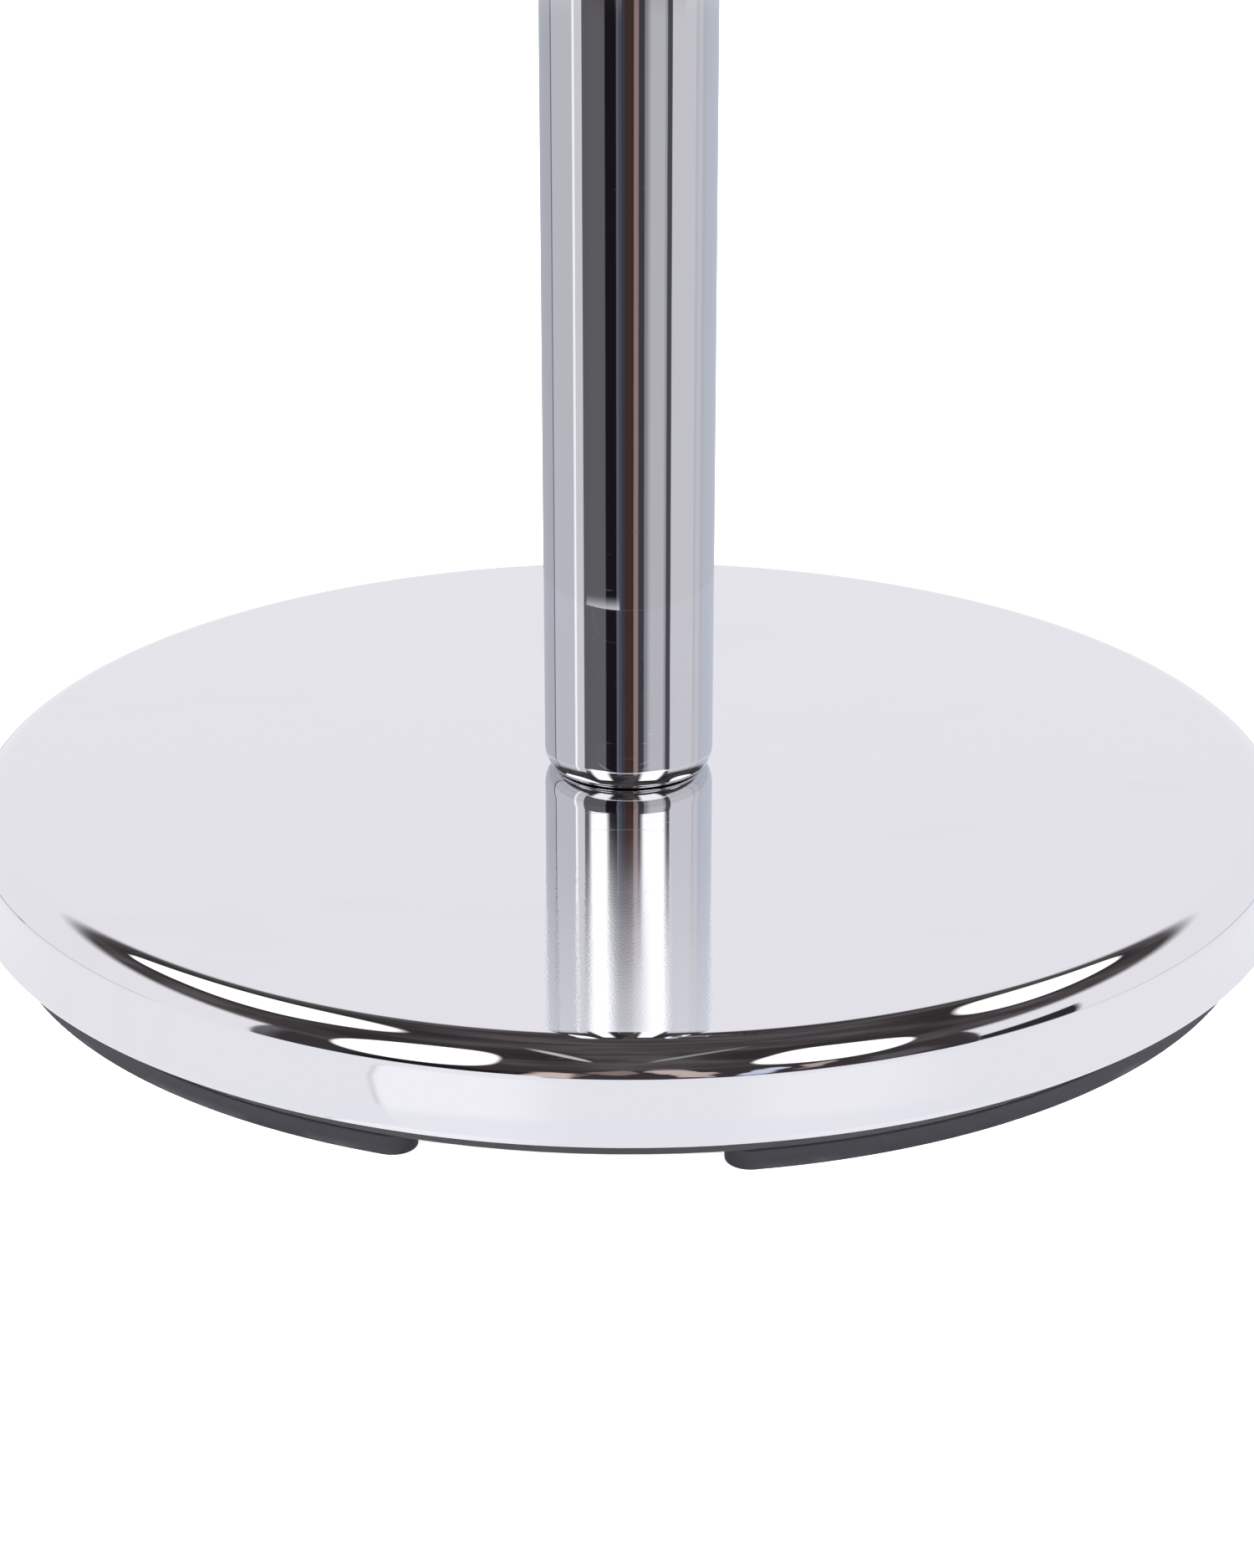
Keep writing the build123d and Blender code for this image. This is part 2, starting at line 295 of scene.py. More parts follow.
def rod(radius, start, end):
    """A plain round bar on the Z axis."""
    return rounded([(0, start), (radius, start), (radius, end), (0, end)], 0)


bpy.context.view_layer.update()
drill(column, crosswise(turned(rod(7.05, 8.0, 30.0), 96)))

# %% [markdown]
# ## The socket's mouth
#
# A nylon bush guides the pole, and a thin chromed ferrule trims the end of the tube. Both
# are short turned rings, with their edges rounded as a moulding and a pressing have them.

# %% Ferrule and bush
ferrule_top = high("top_ferrule")[2]
ferrule_outer = high("top_ferrule")[0]
bush_top = high("socket_bush")[2]
bush_low = low("socket_bush")[2]
bore = 16.1
ferrule_section = rounded(
    [(ferrule_outer, low("top_ferrule")[2]), (ferrule_outer, ferrule_top), (bore + 1.2, ferrule_top),
     (bore + 1.2, bush_top), (tube_radius + 0.05, bush_top), (tube_radius + 0.05, low("top_ferrule")[2])],
    [0.35, 0.6, 0.6, 0, 0, 0], steps=8)
ferrule = make_piece(
    "chrome_ferrule", turned(ferrule_section, 256), "stand", ["top_ferrule"])
bush_section = rounded(
    [(bore, bush_low), (17.5, bush_low), (17.5, tube_top_z), (tube_radius, tube_top_z),
     (tube_radius, bush_top), (bore + 0.8, bush_top), (bore, bush_top - 0.8)],
    [0.4, 0.3, 0, 0, 0, 0.25, 0.25])
bush = make_piece(
    "guide_bush", turned(bush_section, 192), "stand", ["socket_bush"])

# %% [markdown]
# ## Floor pads
#
# Each pad is a strip of rubber bent to the base's curve, with round ends and a rounded lower
# edge, and three fine grooves underneath for grip. Its plan is a slot drawn along an arc.
# Every level of the pad is that outline drawn inwards by an inset, so one list of insets and
# heights shapes the side, the rounded edge and the grooves, and the last one meets
# the middle line and closes the sole.

# %% Pads
pad_middle, pad_width, pad_arc, pad_height = 136.6, 10.0, 60.0, low("base_tray")[2] + 1.5
pad_turns = [-50.0, 40.0, 130.0, 220.0]


def pad_outline(turn, inset):
    """Outline of the slot drawn inwards: two arcs about the base's axis, radius plus and minus
    the half width, joined by half circles about the ends of the middle line."""
    half = pad_width / 2 - inset
    side = np.radians(np.linspace(-pad_arc / 2, pad_arc / 2, 61))
    bend = np.radians(np.linspace(0, 180, 19))[1:-1]
    end = math.radians(pad_arc / 2)

    def about(radius, angle):
        return np.stack([radius * np.cos(angle), radius * np.sin(angle)], 1)

    def cap(at, way):
        centre = about(np.array([pad_middle]), np.array([at]))
        return centre + about(half, at + way * bend)

    flat = np.concatenate([
        about(pad_middle + half, side),
        cap(end, 1),
        about(pad_middle - half, side[::-1]),
        cap(-end, -1)[::-1],
    ])
    c, s = math.cos(math.radians(turn)), math.sin(math.radians(turn))
    return flat @ np.array([[c, s], [-s, c]])


def pad_surface(turn):
    """A stack of outlines: top face, side, rounded lower edge, sole with three grooves."""
    top = pad_height
    edge = arc((0.6, 0.6), 0.6, 180, 270, 7)
    grooves = [(1.5, 0), (1.7, 0.45), (2.1, 0.45), (2.3, 0), (3.0, 0), (3.2, 0.45), (3.6, 0.45),
               (3.8, 0), (4.5, 0), (4.7, 0.45), (5.0, 0.45)]
    steps = [(5.0, top), (2.5, top), (0.25, top), (0.0, top - 0.25), (0.0, 2.6), *edge.tolist(), *grooves]
    rings = []
    for inset, level in steps:
        flat = pad_outline(turn, inset)
        rings.append(np.column_stack([flat, np.full(len(flat), level)]))
    return outwards(shell(np.stack(rings), close_rows=False))


pads = []
for index, turn in enumerate(pad_turns, 1):
    node = f"foot_pad_{index}"
    pads.append(make_piece(f"rubber_pad_{index}", pad_surface(turn), "stand", [node]))

# %% [markdown]
# ## Tray screws
#
# Four countersunk screws hold the tray to the weight. Their heads have a cross recess. The
# head is a disc of rings whose height dips inside a plus-shaped region, so the recess
# is real geometry and not a picture of one.

# %% Screws
def screw_surface(centre):
    """Countersunk head and shank, turned; the head's face drops by the recess depth where the
    smaller of |x| and |y| is inside the slot's half width and the larger inside its reach."""
    turn = np.linspace(0, 2 * math.pi, 96, endpoint=False)[None, :]
    head_z, depth, slot_half, reach = low("tray_screws")[2], 1.5, 0.42, 2.2
    head_rings = [[0, 0.2], np.linspace(0.36, 2.6, 20), [3.2, 3.75, 3.95]]
    radius = np.concatenate([*head_rings, [3.95, 2.0, 2.0, 0]])[:, None]
    level = np.concatenate([np.full(24, head_z + 0.02), [head_z + 0.12, head_z + 0.2],
                            [head_z + 2.4, head_z + 11.5, head_z + 11.5]])[:, None]
    x, y = radius * np.cos(turn), radius * np.sin(turn)
    near, far = np.minimum(abs(x), abs(y)), np.maximum(abs(x), abs(y))
    inside = np.clip((slot_half - near) / 0.16 + 0.5, 0, 1) * np.clip((reach - far) / 0.3 + 0.5, 0, 1)
    face = (np.arange(len(radius)) < 24)[:, None]
    z = level + face * inside * depth * np.clip(1.15 - far / 4.0, 0, 1) + 0 * turn
    grid = np.stack([centre[0] + x, centre[1] + y, z], 2)
    return outwards(shell(grid, close_rows=False))


screw_turns = np.radians(40.0 + 90.0 * np.arange(4))
screw_places = 82.0 * np.stack([np.cos(screw_turns), np.sin(screw_turns)], 1)
tray_screws = make_piece(
    "tray_screw_set", joined(*[screw_surface(place) for place in screw_places]),
    "stand", ["tray_screws"])

# %% [markdown]
# ## The clamp
#
# A boss is welded to the column's side, and chromed with it. Its foot follows the tube's
# round side: the distance outwards at a height y across the tube is the square root of the
# tube's radius squared less y squared. A small fillet of weld, run round its foot, softens
# the joint before plating.

# %% Boss
boss_end = high("clamp_boss")[0]
boss_radius = (high("clamp_boss")[2] - low("clamp_boss")[2]) / 2


def boss_surface():
    """Rings round the screw's axis. Each ring has a radius and either a fixed distance
    outwards or one measured from the tube's side."""
    turn = np.linspace(0, 2 * math.pi, 128, endpoint=False)[None, :]
    weld = arc((boss_radius + 1.6, 1.6), 1.6, 270, 180, 9)
    edge = rounded([(boss_radius, 0), (boss_radius, 1), (boss_radius - 1.2, 2.2), (boss_radius - 3, 2.2)],
                   [0, 0.8, 0.8, 0], 6)[1:-1]
    rings = [(7.0, -1.4, 1)] + [(r, out, 1) for r, out in weld.tolist()]
    rings += [(r, boss_end - 2.2 + out, 0) for r, out in edge.tolist()]
    rings += [(5.0, boss_end, 0), (4.5, boss_end - 0.5, 0), (4.1, boss_end - 0.9, 0)]
    rings += [(4.1, 17.7, 0), (7.0, 17.7, 0)]
    radius, out, follows = (np.array(column)[:, None] for column in zip(*rings))
    y, up = radius * np.cos(turn), radius * np.sin(turn)
    side = np.sqrt(tube_radius ** 2 - np.minimum(abs(y), tube_radius) ** 2)
    x = out + follows * side
    return outwards(shell(np.stack([x, y, clamp_z + up], 2)))


boss = make_piece("chrome_boss", boss_surface(), "stand", ["clamp_boss"])

# %% [markdown]
# The screw has a real thread. Its surface is a tube whose radius depends on the phase of a
# helix: the distance along the screw over the pitch, less the turn round it over a full
# turn. The profile over one pitch is a flat crest, a slope, a rounded root and a slope.

# %% Screw
screw_start = low("clamp_screw")[0]
screw_end = high("clamp_screw")[0]
thread_pitch, thread_crest, thread_root = 1.25, 3.98, 3.34


def screw_thread():
    """Radius as a function of helix phase; it fades to the root at the point, so that the
    screw starts easily, and closes on the axis at both ends."""
    turn = np.linspace(0, 2 * math.pi, 48, endpoint=False)[None, :]
    start = screw_start + 2.5
    along = np.arange(start, screw_end, thread_pitch / 10)[:, None]
    phase = (along / thread_pitch - turn / (2 * math.pi)) % 1.0
    slope = np.clip((abs(phase - 0.5) * 2 - 0.14) / 0.68, 0, 1)
    rise = np.clip((along - start) / 1.2, 0, 1)
    radius = thread_root + (thread_crest - thread_root) * slope * rise
    ends = [(0.0, screw_start), (2.3, screw_start), (2.5, screw_start + 0.2), (2.5, start), (3.0, start)]
    before = np.array([e[0] for e in ends])[:, None] + 0 * turn
    radius = np.concatenate([before, radius, 0 * turn])
    along = np.concatenate([[[e[1]] for e in ends], along, along[-1:]])
    points = np.stack([along + 0 * turn, radius * np.cos(turn), clamp_z + radius * np.sin(turn)], 2)
    return outwards(shell(points, close_rows=False))


screw = make_piece(
    "clamp_screw_thread", screw_thread(), "clamp_handle", ["clamp_screw"], crease=50)

# %% [markdown]
# The knob is moulded. Round it, its radius is the smaller of the plain section's and the
# distance to a ring of flute circles; a smooth minimum leaves the small round edge that a
# mould tool has. Its outer face is dished a little, with a round cap in the middle.

# %% Knob
knob_start = low("clamp_knob")[0]
knob_end = high("clamp_knob")[0]


def smooth_least(a, b, k):
    """The smaller of two values, with the corner between them rounded over a width k."""
    share = np.clip(0.5 + 0.5 * (b - a) / k, 0, 1)
    return b * (1 - share) + a * share - k * share * (1 - share)


def knob_surface():
    """Turned section with eight flutes: the distance to a flute circle at a turn d from its
    middle is R cos d less the square root of r squared less (R sin d) squared."""
    turn = np.linspace(0, 2 * math.pi, 256, endpoint=False)[None, :]
    grip, hub, flute, ring = 12.5, 8.5, 3.0, 14.1
    span = knob_end - knob_start
    section = rounded(
        [(4.02, 0), (hub, 0), (hub, 3.0), (grip, 3.0), (grip, span), (10.2, span),
         (9.4, span - 0.5), (7.2, span - 0.5), (6.9, span - 0.1), (0, span - 0.1)],
        [0, 0.5, 0.6, 2.4, 2.4, 0.3, 0.3, 0.25, 0.25, 0], steps=9)
    section = np.concatenate([section[:1] * [0, 1], section])
    radius, level = section[:, 0:1], section[:, 1:2]
    apart = (turn + math.pi / 8) % (math.pi / 4) - math.pi / 8
    across = ring * np.sin(apart)
    reach = np.sqrt(np.maximum(flute ** 2 - across ** 2, 0))
    valley = np.where(abs(across) < flute, ring * np.cos(apart) - reach, 99.0)
    fluted = smooth_least(radius + 0 * turn, valley, 0.5)
    radius = np.where(radius > 10.3, fluted, radius + 0 * turn)
    points = np.stack([knob_start + level + 0 * turn, radius * np.cos(turn),
                       clamp_z + radius * np.sin(turn)], 2)
    return outwards(shell(points, close_rows=False))


knob = make_piece("fluted_knob", knob_surface(), "clamp_handle", ["clamp_knob"], crease=60)

# %% [markdown]
# The screw's tip is a nylon cap, so that it grips the pole without marking it. It slides
# with the screw and does not turn, so it rides on a body of its own.

# %% Nylon tip
tip_start, tip_end = low("clamp_pad")[0], high("clamp_pad")[0]
tip_radius, tip_bore, tip_depth = 3.8, 2.56, 2.45
tip_section = rounded(
    [(0, tip_start), (tip_radius, tip_start), (tip_radius, tip_end), (tip_bore, tip_end),
     (tip_bore, tip_end - tip_depth), (0, tip_end - tip_depth)],
    [0, 0.6, 0.2, 0.2, 0.2, 0])
tip = make_piece(
    "nylon_tip", crosswise(turned(tip_section, 64, closed=False)),
    "clamp_tip", ["clamp_pad"])

# %% [markdown]
# ## Writing shader maths as Python
#
# A finish is a small sum over space: some noise, some rings, a mask, mixed together. Nodes
# do these sums, but a net of Math nodes is hard to read. One class wraps a socket and gives
# it plus, minus, times and power, so that a line of Python adds the nodes that it says.

# %% Shader kit
class Value:
    """A number that comes out of a node, for use in Python expressions."""

    def __init__(self, tree, socket):
        self.tree, self.socket = tree, socket

    def maths(self, operation, *others):
        made = self.tree.node("ShaderNodeMath", {"operation": operation}, dict(enumerate(others)))
        return made.number()

    def __add__(self, other):
        return self.maths("ADD", self, other)

    def __radd__(self, other):
        return self.maths("ADD", other, self)

    def __sub__(self, other):
        return self.maths("SUBTRACT", self, other)

    def __rsub__(self, other):
        return self.maths("SUBTRACT", other, self)

    def __mul__(self, other):
        return self.maths("MULTIPLY", self, other)

    def __rmul__(self, other):
        return self.maths("MULTIPLY", other, self)

    def __truediv__(self, other):
        return self.maths("DIVIDE", self, other)

    def __pow__(self, other):
        return self.maths("POWER", self, other)

    def size(self):
        return self.maths("ABSOLUTE", self)

    def rise(self, start, end):
        """0 below start, 1 above end, and a smooth step between; it falls if end is less."""
        settings = {"interpolation_type": "SMOOTHSTEP"}
        if end >= start:
            return self.tree.node("ShaderNodeMapRange", settings, {0: self, 1: start, 2: end}).number()
        return 1.0 - self.rise(end, start)


class Made:
    """A node that has been added: its outputs by name or number."""

    def __init__(self, tree, node):
        self.tree, self.inner = tree, node

    def number(self, output=0):
        return Value(self.tree, self.inner.outputs[output])

    def link(self, output=0):
        return self.inner.outputs[output]


class Tree:
    """A node tree that starts empty and is written one node at a time."""

    def __init__(self, owner):
        owner.use_nodes = True
        self.nodes, self.links = owner.node_tree.nodes, owner.node_tree.links
        self.nodes.clear()

    def node(self, kind, settings=None, sockets=None):
        """Add a node: first its settings, then the value or the link of each socket."""
        made = self.nodes.new(kind)
        for name, setting in (settings or {}).items():
            if name == "stops":
                self.ramp_stops(made.color_ramp, setting)
            else:
                setattr(made, name, setting)
        for name, given in (sockets or {}).items():
            if isinstance(given, Value):
                given = given.socket
            if isinstance(given, bpy.types.NodeSocket):
                self.links.new(given, made.inputs[name])
            else:
                made.inputs[name].default_value = given
        return Made(self, made)

    def ramp_stops(self, ramp, stops):
        """Give a ramp its stops, as (place, (red, green, blue, 1)) pairs."""
        while len(ramp.elements) < len(stops):
            ramp.elements.new(1.0)
        for element, (place, colour) in zip(ramp.elements, stops):
            element.position, element.color = place, colour

    def mix(self, factor, first, second):
        """A colour between two colours."""
        made = self.node("ShaderNodeMix", {"data_type": "RGBA"}, {0: factor, 6: first, 7: second})
        return made.link(2)

    def place(self, scale=(1, 1, 1), move=(0, 0, 0), turn=(0, 0, 0)):
        """Object coordinates in metres, through a Mapping node."""
        at = self.node("ShaderNodeTexCoord").link("Object")
        turn = tuple(math.radians(t) for t in turn)
        sockets = {"Vector": at, "Location": move, "Rotation": turn, "Scale": scale}
        return self.node("ShaderNodeMapping", None, sockets).link()

    def noise(self, at, scale, detail=2.0, roughness=0.5):
        """Soft noise from 0 to 1, with that many cells to the metre."""
        sockets = {"Vector": at, "Scale": scale, "Detail": detail, "Roughness": roughness}
        return self.node("ShaderNodeTexNoise", None, sockets).number(0)

    def cells(self, at, scale):
        """Distance to the nearest of scattered points, for grains and pebbled skins."""
        sockets = {"Vector": at, "Scale": scale}
        return self.node("ShaderNodeTexVoronoi", {"feature": "F1"}, sockets).number(0)

    def bump(self, height, distance, strength=1.0, under=None):
        """Tilt the surface by a height, in metres at 1.0."""
        sockets = {"Height": height, "Distance": distance, "Strength": strength}
        if under is not None:
            sockets["Normal"] = under
        return self.node("ShaderNodeBump", None, sockets).link()

    def split(self, at):
        """The x, y and z of a vector as three numbers."""
        made = self.node("ShaderNodeSeparateXYZ", None, {0: at})
        return made.number(0), made.number(1), made.number(2)


def finish(name, paint):
    """A material whose paint function adds the nodes and returns the shader's sockets."""
    material = bpy.data.materials.new(name)
    tree = Tree(material)
    shader = tree.node("ShaderNodeBsdfPrincipled", None, paint(tree))
    tree.node("ShaderNodeOutputMaterial", None, {"Surface": shader.link()})
    return material


def coat(material, *pieces):
    """Give a material to pieces and CAD nodes, in every slot that they have."""
    for piece in pieces:
        if piece.material_slots:
            for place in piece.material_slots:
                place.material = material
        else:
            piece.data.materials.append(material)

# %% [markdown]
# ## Mirror chrome
#
# Chrome plate is a metal shader with a very low roughness. What makes it look real is what
# is not perfect: the flat top is buffed with a wheel, which leaves a haze and a fine grain,
# so a thing's mirror image there blurs with its distance; the spun shoulder stays sharp;
# there are faint smears from handling, and a few hair scratches.

# %% Chrome
def chrome_marks(tree):
    """Smears and hair scratches: 0 on clean plate, 1 in a mark."""
    smear = tree.noise(tree.place(scale=(1.0, 2.4, 1.0), turn=(0, 0, 25)), 14.0, 4.0, 0.6).rise(0.56, 0.78)
    long_way = tree.place(scale=(1.0, 42.0, 42.0), turn=(12, 0, 34))
    hair = tree.noise(long_way, 22.0, 1.0, 0.4).rise(0.735, 0.765)
    return smear, hair


def cover_finish(tree):
    at = tree.place()
    x, y, z = tree.split(at)
    out = (x * x + y * y) ** 0.5
    flat = out.rise(0.1405, 0.1375) * z.rise(plate_z * MM - 0.0009, plate_z * MM - 0.0003)
    smear, hair = chrome_marks(tree)
    cloud = tree.noise(at, 30.0, 3.0, 0.55)
    speckle = tree.noise(at, 1900.0, 1.0, 0.5)
    ripple = tree.noise(at, 55.0, 1.0, 0.4)
    roughness = 0.014 + flat * (0.004 + 0.010 * cloud) + smear * 0.03 + hair * 0.08
    fine = tree.bump(speckle * flat * out.rise(0.03, 0.11), 5.0e-6)
    soft = tree.bump(ripple + hair * 0.04, 1.2e-5, under=fine)
    tint = tree.mix(smear * 0.5, (0.79, 0.79, 0.80, 1), (0.755, 0.757, 0.77, 1))
    return {"Base Color": tint, "Metallic": 1.0, "Roughness": roughness, "Normal": soft}


def column_finish(tree):
    smear, hair = chrome_marks(tree)
    drawn = tree.noise(tree.place(scale=(1.0, 1.0, 0.07)), 260.0, 2.0, 0.5)
    wave = tree.noise(tree.place(scale=(1.0, 1.0, 0.55)), 42.0, 2.0, 0.45)
    roughness = 0.014 + smear * 0.025 + hair * 0.06
    fine = tree.bump(drawn, 2.0e-6)
    soft = tree.bump(wave, 3.0e-5, under=fine)
    tint = tree.mix(smear * 0.5, (0.78, 0.785, 0.80, 1), (0.75, 0.755, 0.775, 1))
    return {"Base Color": tint, "Metallic": 1.0, "Roughness": roughness, "Normal": soft}


cover_chrome = finish("mirror_chrome_cover", cover_finish)
column_chrome = finish("mirror_chrome_column", column_finish)
coat(cover_chrome, cover)
coat(column_chrome, column, ferrule, boss)
print("chrome on", cover.name, column.name, ferrule.name, boss.name)

# %% [markdown]
# ## Black plastic, rubber and nylon
#
# Moulded plastic copies the skin of its mould, a fine spark-eroded grain, and shines more
# where hands or cloths rub it. Rubber has a coarser, duller skin, and picks up pale dust
# near the floor. Nylon is smoother than both. Each one is noise on two scales: a fine one
# for the bump, and a broad one that varies the colour and the gloss.

# %% Plastics and rubber
def plastic_finish(tree):
    at = tree.place()
    skin = tree.cells(at, 1900.0)
    cloud = tree.noise(at, 45.0, 3.0, 0.55)
    scuff = tree.noise(tree.place(scale=(1, 1, 7), turn=(0, 0, 20)), 120.0, 3.0, 0.6).rise(0.62, 0.8)
    colour = tree.mix(cloud * 0.7 + scuff * 0.3, (0.010, 0.0095, 0.013, 1), (0.022, 0.021, 0.026, 1))
    roughness = 0.42 + cloud * 0.12 + scuff * 0.16
    return {"Base Color": colour, "Roughness": roughness, "Normal": tree.bump(skin, 3.0e-5, 0.6)}


def rubber_finish(tree):
    at = tree.place()
    z = tree.split(at)[2]
    skin = tree.noise(at, 1500.0, 3.0, 0.6)
    cloud = tree.noise(at, 60.0, 3.0, 0.6)
    dust = z.rise(0.0022, 0.0002) * cloud.rise(0.4, 0.75)
    colour = tree.mix(dust * 0.6, (0.0125, 0.0118, 0.0160, 1), (0.05, 0.048, 0.052, 1))
    roughness = 0.62 + cloud * 0.2 + dust * 0.1
    return {"Base Color": colour, "Roughness": roughness, "Specular IOR Level": 0.32,
            "Normal": tree.bump(skin, 7.0e-5, 0.7)}


def black_nylon_finish(tree):
    at = tree.place()
    skin = tree.noise(at, 900.0, 2.0, 0.5)
    rubbed = tree.noise(tree.place(scale=(1, 1, 0.1)), 300.0, 2.0, 0.5).rise(0.5, 0.72)
    colour = tree.mix(rubbed * 0.5, (0.038, 0.038, 0.042, 1), (0.075, 0.075, 0.08, 1))
    return {"Base Color": colour, "Roughness": 0.34 + rubbed * 0.12 + skin * 0.06,
            "Normal": tree.bump(skin, 2.0e-5, 0.5)}


def white_nylon_finish(tree):
    at = tree.place()
    skin = tree.noise(at, 1400.0, 2.0, 0.5)
    stain = tree.noise(at, 420.0, 3.0, 0.6).rise(0.5, 0.8)
    colour = tree.mix(stain, (0.82, 0.81, 0.77, 1), (0.70, 0.67, 0.60, 1))
    return {"Base Color": colour, "Roughness": 0.38 + skin * 0.1, "Subsurface Weight": 0.1,
            "Normal": tree.bump(skin, 2.0e-5, 0.5)}


black_plastic = finish("black_plastic", plastic_finish)
foot_rubber = finish("foot_rubber", rubber_finish)
black_nylon = finish("black_nylon", black_nylon_finish)
white_nylon = finish("white_nylon", white_nylon_finish)
coat(black_plastic, nodes["base_tray"], knob)
coat(foot_rubber, *pads)
coat(black_nylon, bush, nodes["pole_seat"])
coat(white_nylon, tip)
print("plastic on", knob.name, "rubber on", len(pads), "pads, nylon on", bush.name, tip.name)

# %% [markdown]
# ## Iron and zinc
#
# The weight is cast in sand and dipped in grey paint: a grainy skin with pits under a thick
# coat, and a little rust where the coat is thin. Bright zinc plate is a soft metal that
# shows faint yellow and blue bands where its film is thicker, and dull scuffs.

# %% Metals
def iron_finish(tree):
    at = tree.place()
    sand = tree.noise(at, 700.0, 4.0, 0.65)
    pits = tree.cells(at, 260.0).rise(0.22, 0.05)
    rust = tree.noise(at, 90.0, 5.0, 0.7).rise(0.64, 0.76)
    base = tree.mix(sand, (0.085, 0.087, 0.092, 1), (0.16, 0.16, 0.165, 1))
    colour = tree.mix(rust * 0.75, base, (0.17, 0.075, 0.035, 1))
    height = sand - pits * 0.6
    roughness = 0.52 + sand * 0.25 + rust * 0.15
    return {"Base Color": colour, "Metallic": 0.25 - 0.25 * rust, "Roughness": roughness,
            "Normal": tree.bump(height, 2.2e-4, 0.8)}


def zinc_finish(tree):
    at = tree.place()
    film = tree.noise(at, 95.0, 3.0, 0.55)
    scuff = tree.noise(tree.place(scale=(1, 6, 1), turn=(0, 0, 40)), 500.0, 3.0, 0.6).rise(0.55, 0.8)
    bands = tree.node("ShaderNodeValToRGB", {"stops": [
        (0.30, (0.60, 0.63, 0.67, 1)), (0.45, (0.68, 0.66, 0.60, 1)),
        (0.55, (0.64, 0.64, 0.66, 1)), (0.70, (0.58, 0.63, 0.70, 1))]}, {"Fac": film}).link()
    colour = tree.mix(scuff * 0.4, bands, (0.45, 0.45, 0.46, 1))
    return {"Base Color": colour, "Metallic": 1.0, "Roughness": 0.24 + film * 0.1 + scuff * 0.2,
            "Normal": tree.bump(scuff + film, 1.0e-5, 0.6)}


cast_iron = finish("cast_iron", iron_finish)
zinc_steel = finish("zinc_steel", zinc_finish)
coat(cast_iron, nodes["weight_block"])
coat(zinc_steel, screw, tray_screws, nodes["centre_bolt"], nodes["spring_washer"],
     nodes["bolt_washer"], nodes["column_plug"])
print("iron and zinc on", screw.name, tray_screws.name, "and the pieces inside the base")

# %% [markdown]
# ## The studio
#
# A product like this is shot in a light tent: pale cloth behind and at the sides, dark gaps
# between the panels, two soft boxes in front and two overhead. The pole shows all of
# it as upright stripes, squeezed from the whole turn of the room into its width. The
# room is written as a world: a colour for each direction, by its azimuth round the stand
# and its elevation. Only mirror rays see it. The floor and the view beyond stay plain white.
#
# This room is a stand-in for a real tent, and it is set for the front view. A first
# reflection and a second one see partly different rooms, told apart by the light path's
# glossy depth, which no real room could do. It serves the column and its own image in the
# plate at once. From other sides some patches of the room have hard edges in the chrome.

# %% World
REFLECTANCE = 0.79
BOX_LOW = 22.25  # lower edge of the front soft boxes, in degrees above the floor


def seen(red, green, blue, gain=1.0):
    """Colour of the room that polished chrome shows as the given display colour."""
    def linear(level):
        share = level / 255
        return share / 12.92 if share <= 0.04045 else ((share + 0.055) / 1.055) ** 2.4
    return tuple(linear(c) * gain / REFLECTANCE for c in (red, green, blue)) + (1.0,)


# Each stripe of the tent: azimuth where it starts, softness of that edge, and its colour.
stripes = [
    (-121.0, 0.8, (96, 97, 104)), (-118.5, 1.0, (182, 182, 188)), (-78.0, 0.7, (244, 243, 246)),
    (-74.5, 0.8, (198, 197, 203)), (-62.8, 0.5, (90, 88, 93)), (-52.0, 3.0, (92, 90, 94)),
    (-31.0, 0.8, (24, 21, 26)), (-16.2, 0.5, (88, 94, 110)), (-13.6, 0.9, (72, 72, 84)),
    (-9.5, 0.8, (56, 57, 66)), (-5.2, 0.7, (62, 44, 40)), (4.9, 0.5, (44, 36, 38)),
    (6.2, 0.5, (138, 117, 117)), (12.4, 0.6, (60, 58, 64)), (20.2, 0.8, (128, 128, 134)),
    (26.0, 4.0, (176, 176, 182)), (47.5, 1.5, (150, 150, 156)), (50.6, 0.6, (72, 70, 76)),
    (57.6, 0.6, (194, 193, 199)), (96.0, 1.5, (180, 180, 187)), (101.0, 1.0, (188, 188, 195)),
    (110.0, 1.5, (176, 177, 185)), (118.0, 1.0, (178, 182, 193)),
]


def between(angle, left, right, edge):
    """1 between two angles, falling to 0 over twice the edge on each side."""
    return angle.rise(left - edge, left + edge) * angle.rise(right + edge, right - edge)


def pool(across, along, centre, half, turn=0.0, soft=0.15, power=2.4):
    """A rounded patch: inside where the distances from its centre over its half sizes, each to
    a power, add up to less than one. A high power gives squarer corners."""
    c, s = math.cos(math.radians(turn)), math.sin(math.radians(turn))
    across, along = across - centre[0], along - centre[1]
    first = ((across * c + along * s) / half[0]).size() ** power
    second = ((along * c - across * s) / half[1]).size() ** power
    return (first + second).rise(1.0 + soft, 1.0 - soft)


# Things that stand near the camera: centre and half size in degrees, turn, and colour.
front_things = [
    ((-31.0, -3.0), (15.0, 8.0), 0, (30, 25, 28)), ((-12.3, -5.0), (4.4, 13.0), -8, (200, 180, 174)),
    ((-2.6, 8.0), (3.0, 6.0), 0, (128, 113, 110)), ((8.4, 6.0), (14.0, 3.0), -68, (186, 171, 168)),
    ((21.6, 0.0), (2.4, 6.0), 0, (190, 198, 220)), ((29.5, 4.0), (2.4, 5.0), 0, (170, 152, 148)),
    ((44.0, 0.0), (6.0, 7.0), 20, (84, 80, 84)),
]


